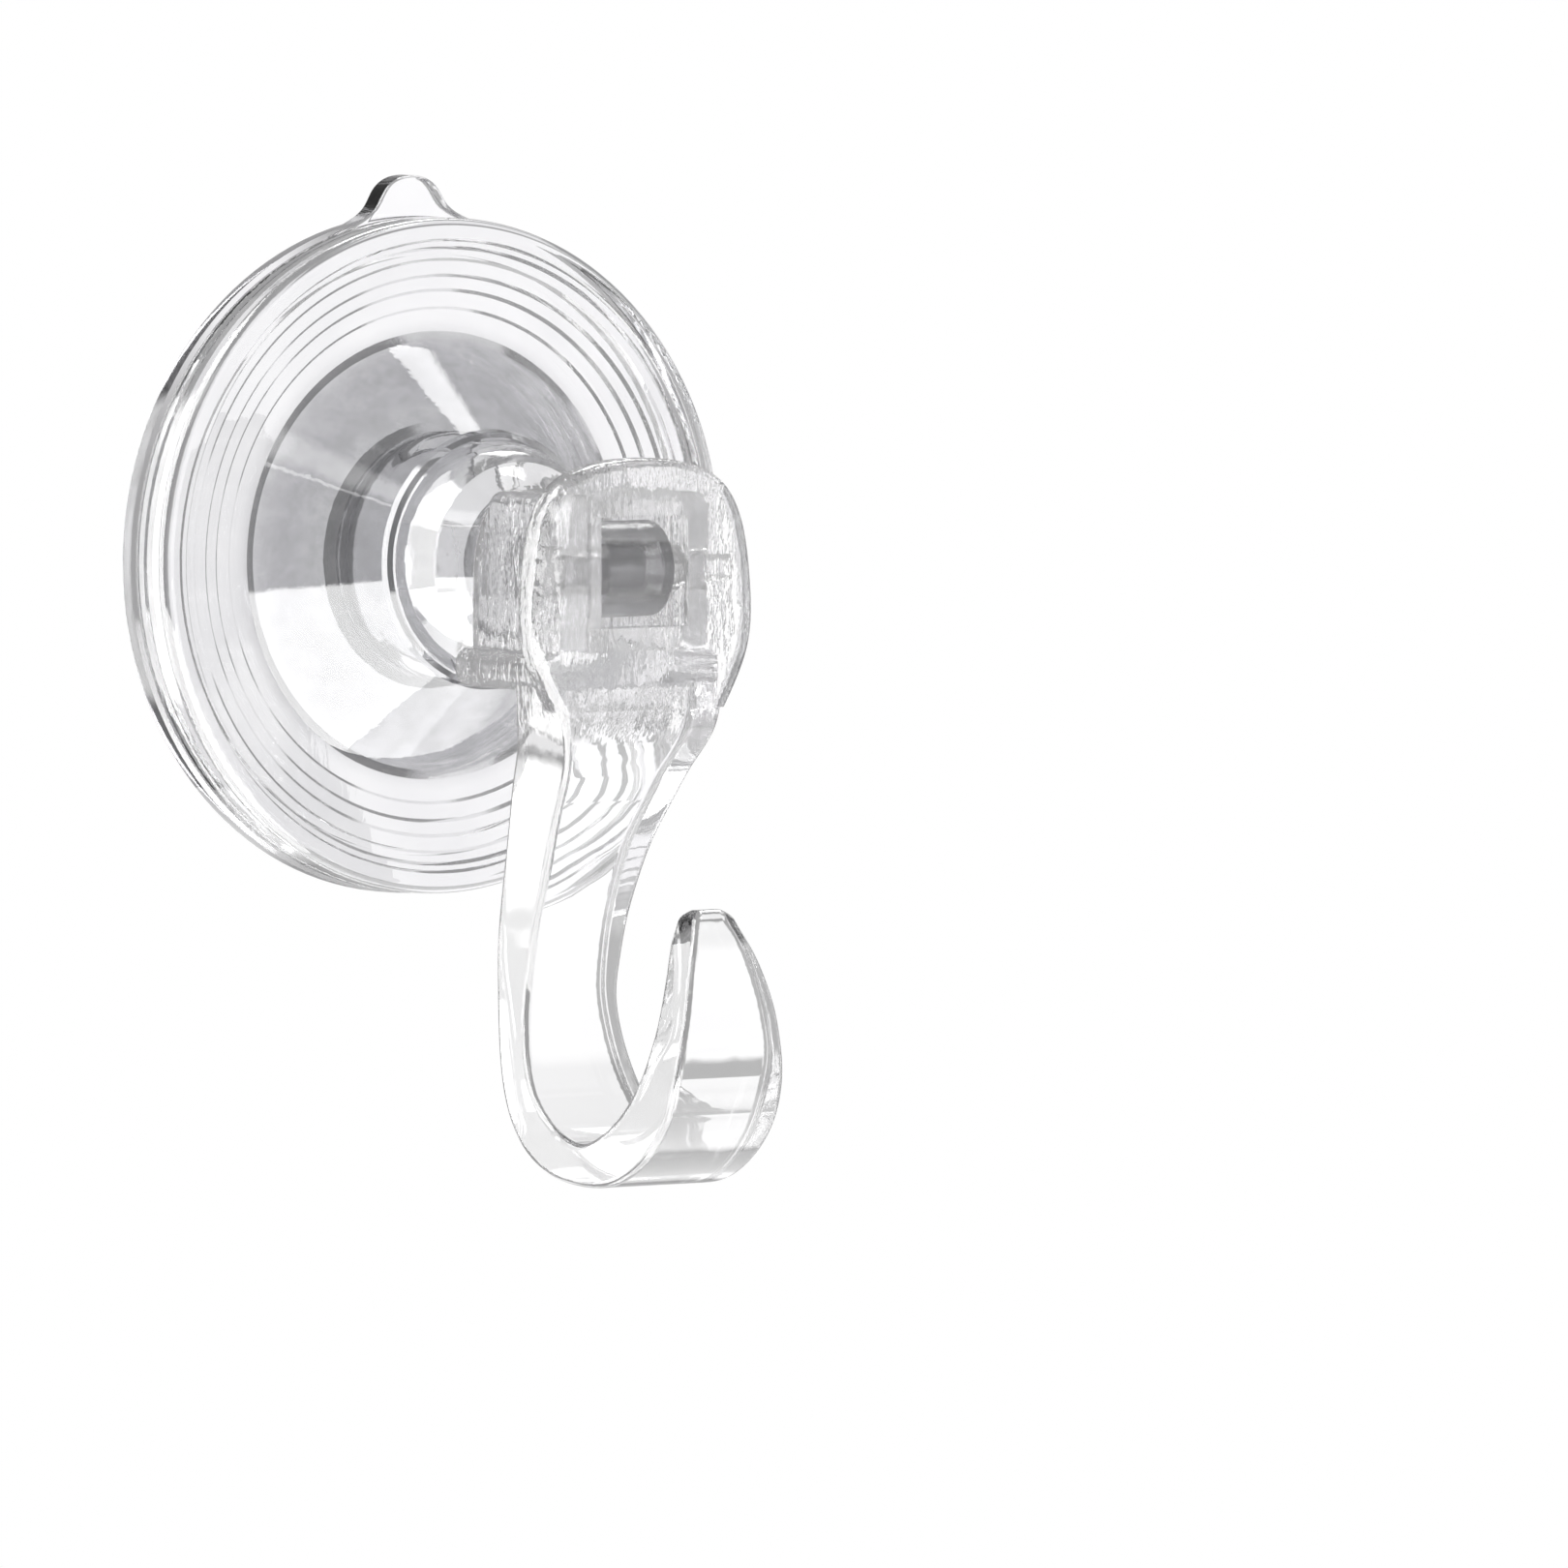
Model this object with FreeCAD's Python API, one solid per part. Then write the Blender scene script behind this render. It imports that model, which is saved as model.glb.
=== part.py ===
import FreeCAD, Part
import math
import os
from FreeCAD import Vector

# Clear suction cup hook with a locking lever.
# Millimetres. +Z is up, the wall is the plane Y = 0 and the hook stands out
# from it towards -Y. The origin is the middle of the ring that seals on the
# wall. In the notes and tables below, "out" is the distance from the wall,
# so y = -out. The model is at rest: lever down, cup drawn tight.

# ---------------------------------------------------------------- dimensions
# soft cup
CUP_R = 35.6            # outer radius of the lip
SEAL_R = 31.0           # inner radius of the ring that seals on the wall
CUP_EDGE = 3.15         # thickness of the cup's edge
CUP_HOLLOW = 3.6        # how far the drawn-up middle stands off the wall
HUB_R = 12.6            # thick middle that holds the stem's foot
HUB_OUT = 9.2
TAB_TOP = 39.75         # top of the pull tab above the cup's centre
TAB_TURN = 1.5          # degrees the tab sits off the top
TAB_BACK = 0.2

# hard cover
COVER_R = 35.4
RIM_R = 34.2            # where the rounded edge ends on the front of the rim
RIM_OUT = 7.95
BELL_R = 23.5           # foot of the bell, a sharp corner in the flange
BELL_OUT = 5.5
SHOULDER_R = 13.6
SHOULDER_OUT = 15.9
BOSS_OUT = 24.9         # flat end of the boss, which the lever bears on
SLOT_X = 4.3            # half width and half height of the stem's slot
SLOT_Z = 3.4

# stem
STEM_X = 4.0
STEM_Z = 3.1
EYE_R = 5.0
FOOT_R = 11.0
FOOT_BACK = 5.2
FOOT_OUT = 6.9

# pivot
PIN_OUT = 39.0
PIN_R = 2.6
PIN_HALF = 9.05
EYE_BORE = PIN_R + 0.07

# lever
CAM_REACH = 13.8        # pivot to the lever's back edge
CAM_TRAVEL = 2.0        # how far the stem goes in as the lever opens
CAM_SWING = 75.0        # degrees
CHEEK_IN = 5.9
CHEEK_OUT = 9.2
CHEEK_TOP = 8.0
CHEEK_ROUND = 1.6
SHELF_TOP = -8.4
SHELF_BOTTOM = -12.5
SHELF_X = 10.6
PLATE_BACK = 41.2
PLATE_FRONT = 44.4
WINDOW_X = 5.45
WINDOW_TOP = 5.65
WINDOW_BOTTOM = -5.85
BAR_ROUND = 0.7         # radius along the four edges of the hook's bar


# ------------------------------------------------------------------- helpers
def v(r, out):
    """A point of a turned profile: radius from the cup's axis, out from the wall."""
    return Vector(r, -out, 0)


def line(a, b):
    return Part.LineSegment(a, b).toShape()


def arc(a, b, c):
    return Part.Arc(a, b, c).toShape()


def turned(edges):
    face = Part.Face(Part.Wire(Part.__sortEdges__(edges)))
    return face.revolve(Vector(0, 0, 0), Vector(0, 1, 0), 360)


def box(x0, x1, out0, out1, z0, z1):
    return Part.makeBox(x1 - x0, out1 - out0, z1 - z0, Vector(x0, -out1, z0))


def rod(radius, x0, x1, out, z):
    return Part.makeCylinder(radius, x1 - x0, Vector(x0, -out, z), Vector(1, 0, 0))


def one_solid(shape):
    shape = shape.removeSplitter()
    solids = shape.Solids
    if len(solids) != 1:
        raise RuntimeError("expected one solid, got %d" % len(solids))
    return solids[0]


# ----------------------------------------------------------------- stem core
def make_stem():
    """Hard core: a round foot moulded into the cup, a flat shank, and an eye for the pin."""
    foot = Part.makeCylinder(
        FOOT_R, FOOT_OUT - FOOT_BACK, Vector(0, -FOOT_BACK, 0), Vector(0, -1, 0)
    )
    foot = foot.makeFillet(0.5, [e for e in foot.Edges if e.Curve.TypeId == "Part::GeomCircle"])
    shank = box(-STEM_X, STEM_X, FOOT_OUT - 0.4, PIN_OUT, -STEM_Z, STEM_Z)
    eye = rod(EYE_R, -STEM_X, STEM_X, PIN_OUT, 0)
    # the shank widens to the eye along tangent flanks
    reach = 5.3
    flank = Part.makePolygon([
        Vector(-STEM_X, -(PIN_OUT - reach), STEM_Z),
        Vector(-STEM_X, -(PIN_OUT - 0.6), EYE_R - 0.05),
        Vector(-STEM_X, -(PIN_OUT - 0.6), -EYE_R + 0.05),
        Vector(-STEM_X, -(PIN_OUT - reach), -STEM_Z),
        Vector(-STEM_X, -(PIN_OUT - reach), STEM_Z),
    ])
    flank = Part.Face(flank).extrude(Vector(2 * STEM_X, 0, 0))
    body = foot.fuse([shank, eye, flank])
    body = body.cut(rod(EYE_BORE, -STEM_X - 1, STEM_X + 1, PIN_OUT, 0))
    return one_solid(body)


# ----------------------------------------------------------------- soft cup
def make_cup(stem):
    seal = v(SEAL_R, 0)
    crown = v(0, CUP_HOLLOW)
    sphere_r = (SEAL_R ** 2 + CUP_HOLLOW ** 2) / (2 * CUP_HOLLOW)
    belly = SEAL_R * 0.55
    belly_pt = v(belly, CUP_HOLLOW - sphere_r + math.sqrt(sphere_r ** 2 - belly ** 2))
    lip = [
        (SEAL_R, 0.0), (CUP_R - 0.35, 0.0), (CUP_R, 0.4), (CUP_R, 1.9),
        (CUP_R - 0.45, 2.2), (CUP_R - 0.5, 2.5), (CUP_R - 0.25, CUP_EDGE),
        (31.2, CUP_EDGE),
    ]
    edges = [arc(crown, belly_pt, seal)]
    pts = [v(*p) for p in lip]
    edges += [line(a, b) for a, b in zip(pts, pts[1:])]
    hub_foot = v(HUB_R + 0.9, 5.2)
    edges.append(arc(pts[-1], v(24.0, 3.62), hub_foot))
    edges.append(line(hub_foot, v(HUB_R, 6.2)))
    edges.append(line(v(HUB_R, 6.2), v(HUB_R, HUB_OUT - 0.9)))
    edges.append(arc(v(HUB_R, HUB_OUT - 0.9), v(HUB_R - 0.264, HUB_OUT - 0.264), v(HUB_R - 0.9, HUB_OUT)))
    edges.append(line(v(HUB_R - 0.9, HUB_OUT), v(0, HUB_OUT)))
    edges.append(line(v(0, HUB_OUT), crown))
    cup = turned(edges)

    # pull tab: a small rounded ear that flows into the lip on wide hollow curves
    half = [(0.0, TAB_TOP), (1.75, 39.45), (3.2, 38.45), (4.45, 36.6), (6.6, 35.15), (10.2, 33.75)]
    ring = [(-x, z) for x, z in reversed(half[1:])] + half
    curve = Part.BSplineCurve()
    curve.interpolate([Vector(x, -TAB_BACK, z) for x, z in ring])
    top = curve.toShape()
    left, right = Vector(-10.2, -TAB_BACK, 33.75), Vector(10.2, -TAB_BACK, 33.75)
    low_l, low_r = Vector(-8.0, -TAB_BACK, 31.5), Vector(8.0, -TAB_BACK, 31.5)
    outline = Part.Wire([top, line(right, low_r), line(low_r, low_l), line(low_l, left)])
    tab = Part.Face(outline).extrude(Vector(0, -(CUP_EDGE - TAB_BACK), 0))
    long_edges = [
        e for e in tab.Edges
        if e.BoundBox.XLength > 15 and e.BoundBox.ZLength > 4 and e.BoundBox.YLength < 0.1
    ]
    tab = tab.makeFillet(0.4, long_edges)
    tab.rotate(Vector(0, 0, 0), Vector(0, 1, 0), -TAB_TURN)
    cup = cup.fuse(tab)
    cup = cup.cut(stem)
    return one_solid(cup)


# --------------------------------------------------------------- hard cover
def make_cover():
    # rim: a shallow groove round the side, then a rounded edge
    side = [
        (COVER_R, CUP_EDGE), (COVER_R, 4.05), (COVER_R - 0.2, 4.25), (COVER_R - 0.2, 4.5),
        (COVER_R, 4.7), (COVER_R, RIM_OUT - 1.2),
    ]
    p = [v(*q) for q in side]
    edges = [line(a, b) for a, b in zip(p, p[1:])]
    round_r = 1.2
    bend = round_r * (1 - math.sqrt(0.5))
    edges.append(arc(p[-1], v(COVER_R - bend, RIM_OUT - bend), v(RIM_R, RIM_OUT)))
    # front: stepped rings down to the foot of the bell, up the bell to the shoulder
    steps = [
        (RIM_R, RIM_OUT), (33.25, RIM_OUT), (32.95, 7.5), (32.45, 7.5), (32.1, 7.1),
        (31.2, 7.05), (30.9, 6.85), (29.55, 6.8), (29.2, 6.45), (28.0, 6.4),
        (27.65, 6.05), (26.1, 5.95), (25.8, 5.7), (BELL_R, BELL_OUT),
        (SHOULDER_R, SHOULDER_OUT), (13.3, 16.5), (12.75, 16.75), (12.6, 17.0),
    ]
    p = [v(*q) for q in steps]
    edges += [line(a, b) for a, b in zip(p, p[1:])]
    boss_edge = v(7.8, BOSS_OUT)
    edges.append(arc(p[-1], v(11.0, 21.4), boss_edge))
    edges.append(line(boss_edge, v(0, BOSS_OUT)))
    inner = [
        (0, BOSS_OUT), (0, 21.9), (7.2, 21.9), (9.3, 19.8), (10.5, 17.0), (11.1, 15.3),
        (21.7, 4.2), (31.6, 4.2), (31.6, CUP_EDGE), (COVER_R, CUP_EDGE),
    ]
    p = [v(*q) for q in inner]
    edges += [line(a, b) for a, b in zip(p, p[1:])]
    cover = turned(edges)
    slot = box(-SLOT_X, SLOT_X, 18.0, BOSS_OUT + 2, -SLOT_Z, SLOT_Z)
    return one_solid(cover.cut(slot))


# -------------------------------------------------------------------- lever
# Ribs of the hook's bar, from inside the head, down the arm, round the bend
# and up to the tip: (out, z) on the outer side, (out, z) on the inner side,
# and the half width there.
RIBS = [
    ((35.2, -9.0), (44.3, -9.0), 10.6),
    ((35.1, -12.4), (44.25, -12.6), 10.1),
    ((34.5, -15.3), (43.9, -16.3), 9.6),
    ((32.5, -18.6), (41.9, -20.3), 8.2),
    ((30.5, -22.2), (39.3, -24.3), 7.35),
    ((28.7, -26.3), (36.8, -28.4), 6.6),
    ((27.3, -30.7), (34.8, -32.6), 6.15),
    ((26.2, -35.3), (33.0, -36.9), 5.95),
    ((25.5, -39.9), (31.9, -40.9), 5.85),
    ((25.5, -44.5), (31.2, -44.7), 5.85),
    ((26.2, -49.0), (31.5, -48.3), 6.2),
    ((27.4, -53.2), (32.5, -51.6), 6.65),
    ((29.2, -56.9), (34.2, -54.6), 7.0),
    ((31.8, -60.1), (36.5, -56.9), 7.1),
    ((35.5, -62.3), (39.2, -58.5), 7.15),
    ((39.9, -63.4), (42.1, -59.2), 7.2),
    ((44.6, -63.65), (44.8, -58.7), 7.2),
    ((49.0, -63.05), (47.5, -57.4), 7.2),
    ((53.0, -61.3), (50.0, -55.6), 7.15),
    ((56.3, -58.7), (52.0, -53.6), 7.1),
    ((58.7, -55.4), (53.6, -51.4), 7.0),
    ((59.9, -51.5), (54.7, -49.0), 6.8),
    ((60.3, -47.6), (55.15, -46.3), 6.2),
    ((60.1, -43.9), (55.1, -43.3), 5.45),
    ((59.3, -40.5), (54.65, -40.2), 4.55),
    ((58.4, -37.8), (54.0, -37.5), 3.55),
    ((57.6, -36.0), (53.75, -36.0), 2.8),
    ((56.9, -34.95), (54.1, -34.95), 2.2),
    ((56.1, -34.5), (54.9, -34.5), 1.6),
]
# the ribs where one stretch of the skin ends and the next begins
BAR_CUTS = [0, 4, 8, 12, 16, 20, 24, 28]


def rib_frame(back, front, half_w, radius):
    """The four sharp corners of one rib, and the directions to round them along."""
    b = Vector(0, -back[0], back[1])
    f = Vector(0, -front[0], front[1])
    d = (f - b).normalize()
    x = Vector(1, 0, 0)
    r = min(radius, half_w * 0.45, (f - b).Length * 0.42)
    # corner, direction it is entered from, direction it is left by
    return [
        (b - x * half_w, d * r, x * r),
        (b + x * half_w, x * -r, d * r),
        (f + x * half_w, d * -r, x * -r),
        (f - x * half_w, x * r, d * -r),
    ]


def through(points, params):
    curve = Part.BSplineCurve()
    curve.interpolate(Points=points, Parameters=params)
    return curve


def strip(curves, weights, cuts):
    """Faces that run along curves with common knots, straight or round across,
    one for each stretch between two cuts."""
    poles = [c.getPoles() for c in curves]
    n = len(poles[0])
    rows = [[poles[j][i] for j in range(len(curves))] for i in range(n)]
    across = len(curves) - 1
    faces = []
    for start, end in zip(cuts, cuts[1:]):
        surface = Part.BSplineSurface()
        surface.buildFromPolesMultsKnots(
            rows, curves[0].getMultiplicities(), [across + 1, across + 1],
            curves[0].getKnots(), [0.0, 1.0], False, False,
            curves[0].Degree, across, [list(weights) for _ in range(n)],
        )
        surface.segment(start, end, 0.0, 1.0)
        faces.append(surface.toShape())
    return faces


def make_bar():
    """The bar's skin: four flats and four rounded corners carried along the ribs."""
    frames = [rib_frame(b, f, w, BAR_ROUND) for b, f, w in RIBS]
    mids = [
        Vector(0, -(b[0] + f[0]) / 2, (b[1] + f[1]) / 2) for b, f, _ in RIBS
    ]
    params = [0.0]
    for m0, m1 in zip(mids, mids[1:]):
        params.append(params[-1] + (m1 - m0).Length)
    params = [q / params[-1] for q in params]
    cuts = [params[i] for i in BAR_CUTS]
    corners = []
    for k in range(4):
        enter = through([fr[k][0] + fr[k][1] for fr in frames], params)
        sharp = through([fr[k][0] for fr in frames], params)
        leave = through([fr[k][0] + fr[k][2] for fr in frames], params)
        corners.append((enter, sharp, leave))
    faces = []
    q = math.sqrt(0.5)
    for k in range(4):
        enter, sharp, leave = corners[k]
        faces += strip([enter, sharp, leave], [1.0, q, 1.0], cuts)
        faces += strip([leave, corners[(k + 1) % 4][0]], [1.0, 1.0], cuts)
    for t in (0.0, 1.0):
        edges = []
        for k in range(4):
            enter, sharp, leave = [c.value(t) for c in corners[k]]
            # a quarter circle from enter to leave, round the sharp corner
            centre = enter + leave - sharp
            reach = (enter - centre).Length
            mid = centre + (sharp - centre).normalize() * reach
            edges.append(arc(enter, mid, leave))
            edges.append(line(leave, corners[(k + 1) % 4][0].value(t)))
        faces.append(Part.Face(Part.Wire(edges)))
    shell = Part.Compound(faces)
    shell.sewShape(0.001)
    solid = Part.Solid(shell.Shells[0] if shell.Shells else Part.Shell(shell.Faces))
    if solid.Volume < 0:
        solid.reverse()
    return solid


def cam_points():
    """Back and top of a cheek, measured from the pivot: a cam whose reach
    shrinks evenly as the lever turns, so the stem goes in at a steady rate."""
    k = CAM_TRAVEL / math.radians(CAM_SWING)
    pts = []
    for deg in range(0, 60, 4):
        a = math.radians(deg)
        h = CAM_REACH - k * a
        back = h * math.cos(a) + k * math.sin(a)
        top = h * math.sin(a) - k * math.cos(a)
        if top > CHEEK_TOP - 0.5:
            break
        pts.append((back, top))
    return pts


def make_cheek(x0, x1):
    cam = [Vector(x0, -(PIN_OUT - b), t) for b, t in cam_points()]
    curve = Part.BSplineCurve()
    curve.interpolate(cam)
    last = cam[-1]
    top_start = Vector(x0, last.y - 2.0, CHEEK_TOP)
    edges = [
        line(Vector(x0, cam[0].y, SHELF_BOTTOM), cam[0]),
        curve.toShape(),
        arc(last, Vector(x0, last.y - 0.75, CHEEK_TOP - 0.3), top_start),
        line(top_start, Vector(x0, -(PLATE_BACK + 1), CHEEK_TOP)),
        line(Vector(x0, -(PLATE_BACK + 1), CHEEK_TOP), Vector(x0, -(PLATE_BACK + 1), SHELF_BOTTOM)),
        line(Vector(x0, -(PLATE_BACK + 1), SHELF_BOTTOM), Vector(x0, cam[0].y, SHELF_BOTTOM)),
    ]
    cheek = Part.Face(Part.Wire(edges)).extrude(Vector(x1 - x0, 0, 0))
    # the long top edge on the outside is well rounded
    outside = x1 if x1 > 0 else x0
    top = [
        e for e in cheek.Edges
        if e.BoundBox.YLength > 8 and e.BoundBox.ZLength < 0.01
        and abs(e.BoundBox.XMin - outside) < 0.01 and abs(e.BoundBox.ZMin - CHEEK_TOP) < 0.01
    ]
    return cheek.makeFillet(CHEEK_ROUND, top)


def make_plate():
    """Broad rounded front of the head."""
    half = [
        (0.0, 11.65), (4.0, 11.4), (7.8, 10.5), (10.5, 8.9), (12.3, 6.3), (13.3, 3.0),
        (13.85, -1.2), (14.0, -4.6), (13.5, -8.3), (12.3, -11.3), (10.6, -14.4),
    ]
    ring = [(-x, z) for x, z in reversed(half[1:])] + half
    curve = Part.BSplineCurve()
    curve.interpolate([Vector(x, -PLATE_BACK, z) for x, z in ring])
    a = Vector(10.6, -PLATE_BACK, -14.4)
    b = Vector(-10.6, -PLATE_BACK, -14.4)
    outline = Part.Wire([curve.toShape(), line(a, b)])
    plate = Part.Face(outline).extrude(Vector(0, -(PLATE_FRONT - PLATE_BACK), 0))
    front = [
        e for e in plate.Edges
        if e.BoundBox.ZLength > 10 and e.BoundBox.YLength < 0.01 and e.BoundBox.YMin < -PLATE_FRONT + 0.1
    ]
    plate = plate.makeFillet(1.3, front)
    back = [
        e for e in plate.Edges
        if e.BoundBox.ZLength > 10 and e.BoundBox.YLength < 0.01 and e.BoundBox.YMax > -PLATE_BACK - 0.1
    ]
    return plate.makeFillet(0.7, back)


def make_lever():
    bar = make_bar()
    plate = make_plate()
    cheeks = [make_cheek(CHEEK_IN, CHEEK_OUT), make_cheek(-CHEEK_OUT, -CHEEK_IN)]
    shelf = box(-SHELF_X, SHELF_X, PIN_OUT - CAM_REACH, PLATE_BACK + 0.5, SHELF_BOTTOM, SHELF_TOP)
    ends = [
        e for e in shelf.Edges
        if e.BoundBox.XLength < 0.01 and e.BoundBox.ZLength < 0.01 and e.BoundBox.YLength > 5
    ]
    shelf = shelf.makeFillet(1.7, ends)
    lever = bar.fuse([plate, shelf] + cheeks)
    window = box(-WINDOW_X, WINDOW_X, PLATE_BACK - 1, PLATE_FRONT + 2, WINDOW_BOTTOM, WINDOW_TOP)
    lever = lever.cut(window)
    # room for the stem between the cheeks
    room = box(-CHEEK_IN, CHEEK_IN, PIN_OUT - CAM_REACH - 1, PLATE_BACK, SHELF_TOP, CHEEK_TOP + 6)
    lever = lever.cut(room)
    lever = lever.cut(rod(PIN_R, -CHEEK_OUT - 3, CHEEK_OUT + 3, PIN_OUT, 0))
    return one_solid(lever)


# ---------------------------------------------------------------------- pin
def make_pin():
    pin = rod(PIN_R, -PIN_HALF, PIN_HALF, PIN_OUT, 0)
    ends = [e for e in pin.Edges if e.Curve.TypeId == "Part::GeomCircle"]
    return pin.makeChamfer(0.3, ends).Solids[0]


# ------------------------------------------------------------------- output
def main():
    os.makedirs("parts", exist_ok=True)
    stem = make_stem()
    shapes = {
        "suction_cup": make_cup(stem),
        "stem_core": stem,
        "dome_cover": make_cover(),
        "hook_lever": make_lever(),
        "pivot_pin": make_pin(),
    }
    for name, shape in shapes.items():
        if not shape.isValid():
            print(name, "is not valid")
        shape.exportStep("parts/%s.step" % name)
        bb = shape.BoundBox
        print(
            "%-12s volume %8.1f mm3  x %.2f..%.2f  y %.2f..%.2f  z %.2f..%.2f"
            % (name, shape.Volume, bb.XMin, bb.XMax, bb.YMin, bb.YMax, bb.ZMin, bb.ZMax)
        )
    return shapes


SHAPES = main()
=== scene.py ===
import math

import bmesh
import bpy
from mathutils import Matrix, Vector


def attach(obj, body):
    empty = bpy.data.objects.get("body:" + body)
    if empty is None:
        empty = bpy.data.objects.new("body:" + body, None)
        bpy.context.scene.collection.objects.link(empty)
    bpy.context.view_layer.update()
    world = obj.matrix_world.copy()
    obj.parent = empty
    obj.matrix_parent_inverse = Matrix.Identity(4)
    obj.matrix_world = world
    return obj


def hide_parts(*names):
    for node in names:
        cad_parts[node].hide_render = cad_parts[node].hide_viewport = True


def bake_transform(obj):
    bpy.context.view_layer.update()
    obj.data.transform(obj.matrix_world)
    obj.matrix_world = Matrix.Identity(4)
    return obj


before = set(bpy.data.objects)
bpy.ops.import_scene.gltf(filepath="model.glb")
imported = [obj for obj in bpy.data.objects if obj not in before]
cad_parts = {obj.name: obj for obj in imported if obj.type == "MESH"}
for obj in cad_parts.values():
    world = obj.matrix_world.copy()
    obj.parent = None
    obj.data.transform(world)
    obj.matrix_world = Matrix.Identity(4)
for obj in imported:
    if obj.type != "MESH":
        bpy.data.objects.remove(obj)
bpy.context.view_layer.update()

# Clear suction cup hook with a locking lever, hanging from a wall plane (Y = 0)
# that is not drawn. Metres; the photograph looks from azimuth -35, elevation 3.5.


# ------------------------------------------------------------------ node help
class Tree:
    """A small wrapper that keeps the node code short."""

    def __init__(self, owner):
        owner.use_nodes = True
        self.tree = owner.node_tree
        self.tree.nodes.clear()

    def add(self, kind, **values):
        node = self.tree.nodes.new(kind)
        for key, value in values.items():
            setattr(node, key, value)
        return node

    def link(self, a, b):
        self.tree.links.new(a, b)

    def maths(self, op, a, b=None, c=None, clamp=False):
        node = self.add("ShaderNodeMath", operation=op, use_clamp=clamp)
        for i, x in enumerate((a, b, c)):
            if x is None:
                continue
            if isinstance(x, (int, float)):
                node.inputs[i].default_value = x
            else:
                self.link(x, node.inputs[i])
        return node.outputs[0]

    def smooth(self, value, low, high, out_low=0.0, out_high=1.0):
        node = self.add("ShaderNodeMapRange", interpolation_type="SMOOTHSTEP")
        self.link(value, node.inputs["Value"])
        for name, x in (("From Min", low), ("From Max", high), ("To Min", out_low), ("To Max", out_high)):
            node.inputs[name].default_value = x
        return node.outputs[0]

    def noise(self, vector, scale, detail=2.0, rough=0.5):
        node = self.add("ShaderNodeTexNoise")
        node.inputs["Scale"].default_value = scale
        node.inputs["Detail"].default_value = detail
        node.inputs["Roughness"].default_value = rough
        self.link(vector, node.inputs["Vector"])
        return node.outputs["Fac"]


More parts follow.
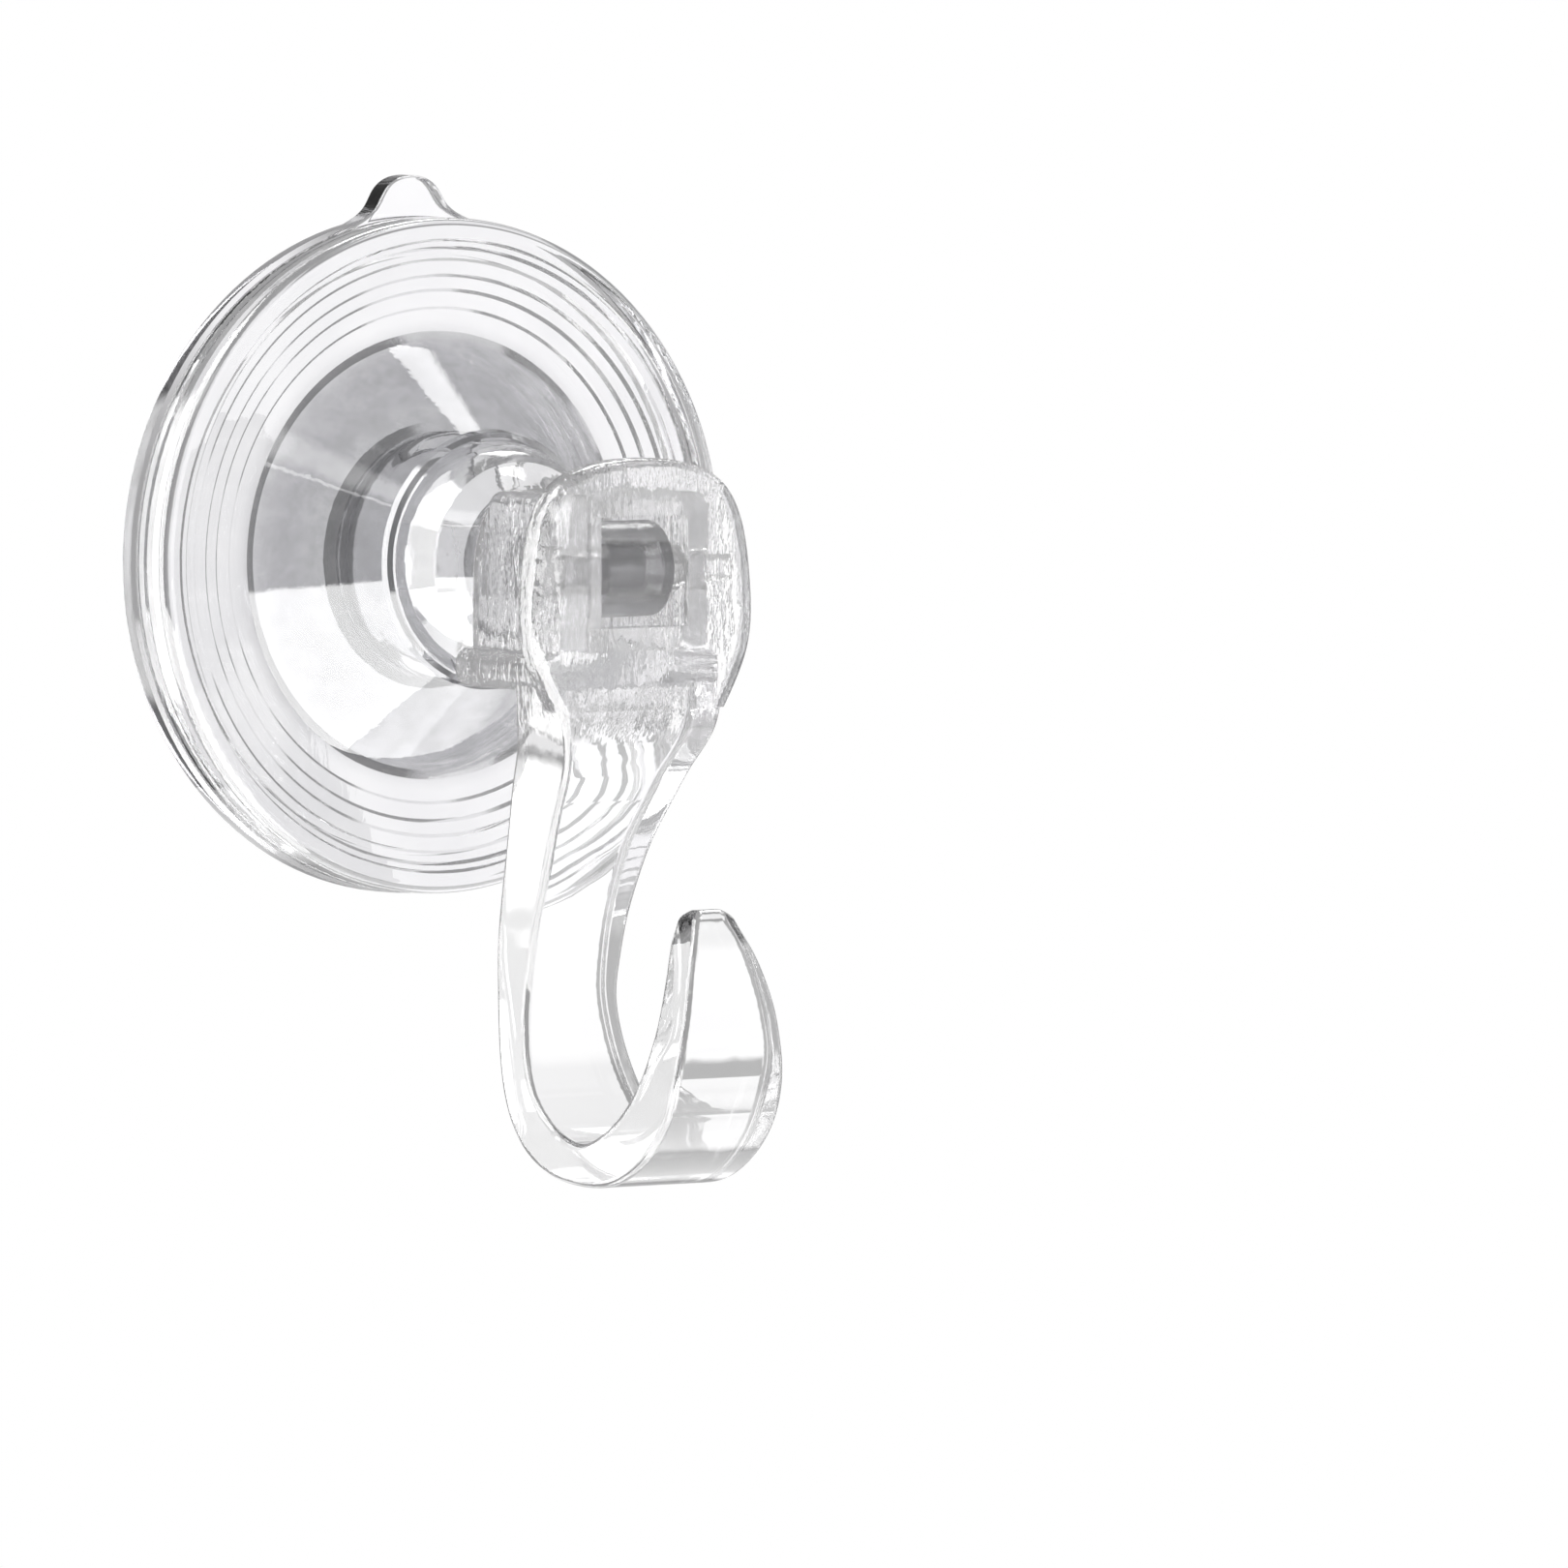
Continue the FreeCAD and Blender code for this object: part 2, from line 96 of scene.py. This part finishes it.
# ------------------------------------------------------------------ materials
def clear_plastic(name, ior, tint_a, tint_b, rough_low, rough_high, wave, wave_scale, absorb, absorb_colour,
                  flow=None, frost=None, middle=None, end_tint_and_painted_shade=None):
    """Clear moulded plastic: faint uneven tint, polish that varies a little, and
    the slow waviness that moulded walls have. flow is (depth, lowest z, highest z)
    of the flow marks in a thick place; frost is (y from, y to, roughness) of a
    place rubbed dull; middle is (radius, colour, spread) of a middle of another
    colour, which on the dome's bell is painted shade; the last argument is (y from,
    y to, colour) of an end of another colour, which is painted shade on the
    stem's outer end and the plain clear tint of the dome's boss."""
    mat = bpy.data.materials.new(name)
    t = Tree(mat)
    out = t.add("ShaderNodeOutputMaterial")
    shader = t.add("ShaderNodeBsdfPrincipled")
    t.link(shader.outputs[0], out.inputs["Surface"])
    shader.inputs["Transmission Weight"].default_value = 1.0
    shader.inputs["IOR"].default_value = ior
    coord = t.add("ShaderNodeTexCoord").outputs["Object"]

    cloud = t.noise(coord, 90.0, 3.0)
    ramp = t.add("ShaderNodeValToRGB")
    ramp.color_ramp.elements[0].position = 0.35
    ramp.color_ramp.elements[0].color = (*tint_a, 1)
    ramp.color_ramp.elements[1].position = 0.65
    ramp.color_ramp.elements[1].color = (*tint_b, 1)
    t.link(cloud, ramp.inputs[0])
    tint = ramp.outputs[0]
    # a middle of another colour; on the dome's bell this colour is painted shade
    if middle:
        flat = t.add("ShaderNodeVectorMath", operation="MULTIPLY")
        t.link(coord, flat.inputs[0])
        flat.inputs[1].default_value = (1, 0, 1)
        length = t.add("ShaderNodeVectorMath", operation="LENGTH")
        t.link(flat.outputs[0], length.inputs[0])
        mix = t.add("ShaderNodeMix", data_type="RGBA")
        inside = (length.outputs["Value"], middle[0] * 0.92, middle[0] * 1.12)
        t.link(t.smooth(*inside, 1.0, 0.0), mix.inputs["Factor"])
        t.link(tint, mix.inputs["A"])
        uneven = t.add("ShaderNodeMix", data_type="RGBA")
        t.link(t.smooth(t.noise(coord, 330.0, 4.0, 0.6), 0.36, 0.64), uneven.inputs["Factor"])
        uneven.inputs["A"].default_value = (*(v * (1 - middle[2]) for v in middle[1]), 1)
        uneven.inputs["B"].default_value = (*(v * (1 + middle[2]) for v in middle[1]), 1)
        t.link(uneven.outputs["Result"], mix.inputs["B"])
        tint = mix.outputs["Result"]
    split = t.add("ShaderNodeSeparateXYZ")
    t.link(coord, split.inputs[0])
    # an end of another colour: painted shade on the stem's outer end, the plain clear tint on the dome's
    # boss
    if end_tint_and_painted_shade:
        mix = t.add("ShaderNodeMix", data_type="RGBA")
        t.link(t.smooth(split.outputs["Y"], end_tint_and_painted_shade[0], end_tint_and_painted_shade[1]), mix.inputs["Factor"])
        t.link(tint, mix.inputs["A"])
        mix.inputs["B"].default_value = (*end_tint_and_painted_shade[2], 1)
        tint = mix.outputs["Result"]
    t.link(tint, shader.inputs["Base Color"])

    polish = t.noise(coord, 260.0, 4.0, 0.6)
    rough = t.smooth(polish, 0.4, 0.75, rough_low, rough_high)
    if frost:
        dull = t.smooth(split.outputs["Y"], frost[0], frost[1], 0.0, frost[2])
        rough = t.maths("ADD", rough, dull)
    t.link(rough, shader.inputs["Roughness"])

    slow = t.noise(coord, wave_scale, 2.0)
    if flow:
        stretch = t.add("ShaderNodeMapping")
        stretch.inputs["Scale"].default_value = (1.0, 1.0, 0.38)
        t.link(coord, stretch.inputs["Vector"])
        marks = t.noise(stretch.outputs[0], 620.0, 3.0, 0.55)
        where = t.maths(
            "MULTIPLY", t.smooth(split.outputs["Z"], flow[1], flow[1] + 0.004),
            t.smooth(split.outputs["Z"], flow[2], flow[2] + 0.002, 1.0, 0.0),
        )
        marks = t.maths("MULTIPLY", t.maths("SUBTRACT", marks, 0.5), where)
        slow = t.maths("ADD", slow, t.maths("MULTIPLY", marks, flow[0] / wave))
    bump = t.add("ShaderNodeBump")
    bump.inputs["Strength"].default_value = 1.0
    bump.inputs["Distance"].default_value = wave
    t.link(slow, bump.inputs["Height"])
    t.link(bump.outputs[0], shader.inputs["Normal"])

    if absorb:
        volume = t.add("ShaderNodeVolumeAbsorption")
        volume.inputs["Color"].default_value = (*absorb_colour, 1)
        volume.inputs["Density"].default_value = absorb
        t.link(volume.outputs[0], out.inputs["Volume"])
    return mat


HARD = clear_plastic(
    "clear_hard_plastic", 1.49, (0.92, 0.917, 0.922), (0.955, 0.953, 0.957),
    0.0, 0.015, 0.00002, 150.0, 9.0, (0.57, 0.565, 0.58), flow=(0.00030, -0.017, 0.012),
)
# the dome's bell within 22.5 mm of the axis is painted shade: a darker tint (0.53) that stands in for a
# dark reflection on the bell; the boss past y -20.5 mm gets the clear tint (0.96) back
DOME = clear_plastic(
    "clear_dome_plastic_painted_shade", 1.49, (0.92, 0.92, 0.925), (0.955, 0.955, 0.957),
    0.0, 0.015, 0.00001, 160.0, 12.0, (0.55, 0.56, 0.58), flow=(0.00002, -0.030, 0.030),
    middle=(0.0225, (0.53, 0.53, 0.545), 0.09), end_tint_and_painted_shade=(-0.0175, -0.0205, (0.96, 0.96, 0.962)),
)
SOFT = clear_plastic(
    "clear_soft_plastic", 1.36, (0.90, 0.895, 0.912), (0.955, 0.95, 0.963),
    0.01, 0.05, 0.00002, 120.0, 12.0, (0.56, 0.55, 0.59),
    middle=(0.0150, (0.98, 0.98, 0.985), 0.01),
)
# the stem's outer end, from y -31 mm to -36 mm, where it shows in the lever's window, is painted shade: a
# darker tint (0.66)
CORE = clear_plastic(
    "clear_core_plastic_painted_shade", 1.24, (0.86, 0.86, 0.865), (0.92, 0.92, 0.925),
    0.0, 0.02, 0.00001, 200.0, 10.0, (0.5, 0.5, 0.52), flow=(0.00012, -0.011, 0.008),
    frost=(-0.030, -0.034, 0.20), end_tint_and_painted_shade=(-0.031, -0.036, (0.66, 0.66, 0.665)),
)

MATERIAL_OF = {
    "dome_cover": DOME, "hook_lever": HARD, "pivot_pin": HARD,
    "stem_core": CORE, "suction_cup": SOFT,
}
for node_name, material in MATERIAL_OF.items():
    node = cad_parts[node_name]
    node.data.materials.clear()
    node.data.materials.append(material)


# --------------------------------------------------------------------- pieces
def stand_in(node_name, name, move):
    """A piece made from a node's skin, with each point passed through move."""
    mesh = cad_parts[node_name].data.copy()
    mesh.name = name
    for vert in mesh.vertices:
        vert.co = move(vert.co)
    # a face without area, such as one at the tip of a turned shape, is left out
    shape = bmesh.new()
    shape.from_mesh(mesh)
    flat = [face for face in shape.faces if face.calc_area() < 1e-14]
    bmesh.ops.delete(shape, geom=flat, context="FACES_ONLY")
    shape.to_mesh(mesh)
    shape.free()
    piece = bpy.data.objects.new(name, mesh)
    bpy.context.scene.collection.objects.link(piece)
    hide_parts(node_name)
    return piece


AIR = 0.00003  # film of air between two clear parts that lie on each other


def clear_of_neighbours(co):
    """The cup's skin a hair away from the cover's rim and from the stem's foot."""
    x, y, z = co
    r = math.hypot(x, z)
    if abs(y + 0.00315) < 2e-6:
        y += AIR
    elif -0.00950 < y < -0.00380 and r > 1e-6:
        foot = r < 0.01105 and -0.00695 < y < -0.00515
        shank = abs(x) < 0.00405 and abs(z) < 0.00315
        if foot and not (shank and y < -0.0069 + 2e-6 and r < 0.0040):
            x, z = x * (1 + AIR / r), z * (1 + AIR / r)
            if y > -0.0058:
                y += AIR
            elif y < -0.0063:
                y -= AIR
        if shank and y < -0.00688:
            x += math.copysign(AIR, x) if abs(abs(x) - 0.004) < 3e-5 else 0.0
            z += math.copysign(AIR, z) if abs(abs(z) - 0.0031) < 3e-5 else 0.0
    return Vector((x, y, z))


def make_cup():
    cup = stand_in("suction_cup", "soft_cup", clear_of_neighbours)
    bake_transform(cup)
    return cup


def make_pin():
    def slim(co):
        r = math.hypot(co.y + 0.039, co.z)
        k = (r - AIR) / r if r > 0.001 else 1.0
        return Vector((co.x, -0.039 + (co.y + 0.039) * k, co.z * k))

    pin = stand_in("pivot_pin", "hinge_pin", slim)
    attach(pin, "lever")
    return pin


make_cup()
make_pin()


# ---------------------------------------------------------------------- stage
def make_floor():
    bpy.ops.mesh.primitive_circle_add(vertices=96, radius=60.0, fill_type="NGON", location=(0, 0, -0.62))
    floor = bpy.context.object
    floor.name = "studio_floor"
    mat = bpy.data.materials.new("studio_floor_white")
    t = Tree(mat)
    out = t.add("ShaderNodeOutputMaterial")
    shader = t.add("ShaderNodeEmission")
    shader.inputs["Color"].default_value = (1, 1, 1, 1)
    shader.inputs["Strength"].default_value = 1.0
    t.link(shader.outputs[0], out.inputs["Surface"])
    floor.data.materials.append(mat)
    floor.visible_transmission = False
    floor.visible_glossy = False
    return floor


def make_world():
    """White studio. Seen through the plastic it has soft grey flags between its
    white panels, which draw the edges; in the plastic's gloss it has bright
    panels in a dim room."""
    world = bpy.data.worlds.new("studio")
    bpy.context.scene.world = world
    t = Tree(world)
    out = t.add("ShaderNodeOutputWorld")
    background = t.add("ShaderNodeBackground")
    t.link(background.outputs[0], out.inputs["Surface"])
    background.inputs["Color"].default_value = (1, 1, 1, 1)

    split = t.add("ShaderNodeSeparateXYZ")
    t.link(t.add("ShaderNodeTexCoord").outputs["Generated"], split.inputs[0])
    x, y, z = split.outputs
    azimuth = t.maths("DEGREES", t.maths("ARCTAN2", x, t.maths("MULTIPLY", y, -1.0)))
    height = t.maths("DEGREES", t.maths("ARCSINE", z))

    def flags(value, spans, soft):
        """1 inside any of the spans of degrees, with soft sides."""
        total = None
        for low, high in spans:
            rise = t.smooth(value, low - soft, low + soft)
            fall = t.smooth(value, high - soft, high + soft, 1.0, 0.0)
            one = t.maths("MULTIPLY", rise, fall)
            total = one if total is None else t.maths("MAXIMUM", total, one)
        return total

    # what is seen through the plastic
    side = flags(azimuth, SIDE_FLAGS, 2.0)
    level = flags(height, LEVEL_FLAGS, 1.5)
    through = t.maths("SUBTRACT", 1.0, t.maths("MULTIPLY", t.maths("MAXIMUM", side, level), FLAG_DEPTH))

    # what is reflected in it: (azimuths, heights, brightness, softness) of each panel
    gloss = None
    for spans, heights, light, soft in PANELS:
        one = t.maths("MULTIPLY", flags(azimuth, spans, soft), flags(height, heights, soft))
        one = t.maths("MULTIPLY", one, light)
        gloss = one if gloss is None else t.maths("MAXIMUM", gloss, one)
    gloss = t.maths("MAXIMUM", gloss, ROOM_LIGHT)

    path = t.add("ShaderNodeLightPath")
    mirror = path.outputs["Is Reflection Ray"]
    seen = path.outputs["Is Camera Ray"]
    bent = t.maths("ADD", t.maths("MULTIPLY", mirror, gloss),
                   t.maths("MULTIPLY", t.maths("SUBTRACT", 1.0, mirror), through))
    strength = t.maths("ADD", seen, t.maths("MULTIPLY", t.maths("SUBTRACT", 1.0, seen), bent))
    t.link(strength, background.inputs["Strength"])


FLAG_DEPTH = 0.62
SIDE_FLAGS = [
    (154, 172), (-172, -143), (-127, -98), (-82, -53), (-37, -8), (8, 37), (53, 82), (98, 133),
]
LEVEL_FLAGS = [(-79, -50.5), (-41, -34.5), (-20, -14.5), (7.5, 24), (38, 60), (70, 100)]
ROOM_LIGHT = 0.45
PANELS = [
    ([(-8, 88)], [(-34, 32)], 3.6, 7.0),             # window to the right of the camera
    ([(-115, 12)], [(-120, -14)], 14.0, 1.2),        # lit table in front
    ([(-190, -10)], [(-120, -46)], 8.0, 3.0),       # lit table below
    ([(0, 105)], [(-120, -26)], 5.5, 8.0),           # dimmer end of the table
    ([(105, 190)], [(-120, -26)], 2.2, 8.0),         # its far corner
    ([(-190, 190)], [(-120, -67)], 8.0, 3.0),       # table below
    ([(-126, -80)], [(-34, 68)], 14.0, 2.5),         # window to the left
    ([(-158, -122)], [(-30, 66)], 7.5, 2.5),         # and its far half
    ([(125, 160)], [(38, 60)], 10.0, 3.0),           # high window behind
    ([(62, 98)], [(61, 78)], 9.0, 2.0),              # skylight
    ([(-80, -38)], [(36, 47)], 4.5, 3.5),            # pale stretch above the side wall
    ([(-80, -38)], [(32.5, 34.0)], 6.0, 0.5),        # bright top edge of the side wall
]


make_floor()
make_world()


# --------------------------------------------------------------------- camera
def make_camera():
    back = Vector((-0.5725, -0.8176, 0.0610)).normalized()
    right = Vector((0, 0, 1)).cross(back).normalized()
    up = back.cross(right).normalized()
    aim = right * 0.03985 - up * 0.02423
    data = bpy.data.cameras.new("studio_camera")
    data.sensor_width = 36.0
    data.lens = 547.2
    data.clip_start, data.clip_end = 0.05, 200.0
    data.dof.use_dof = False
    camera = bpy.data.objects.new("studio_camera", data)
    camera.matrix_world = Matrix((
        (right.x, up.x, back.x, 0), (right.y, up.y, back.y, 0), (right.z, up.z, back.z, 0), (0, 0, 0, 1),
    ))
    camera.location = aim + back * 2.5
    bpy.context.scene.collection.objects.link(camera)
    bpy.context.scene.camera = camera


make_camera()

scene = bpy.context.scene
scene.view_settings.view_transform = "Standard"
scene.view_settings.look = "None"
scene.view_settings.exposure = 0.0
scene.view_settings.gamma = 1.0
scene.cycles.max_bounces = 24
scene.cycles.transmission_bounces = 24
scene.cycles.glossy_bounces = 12
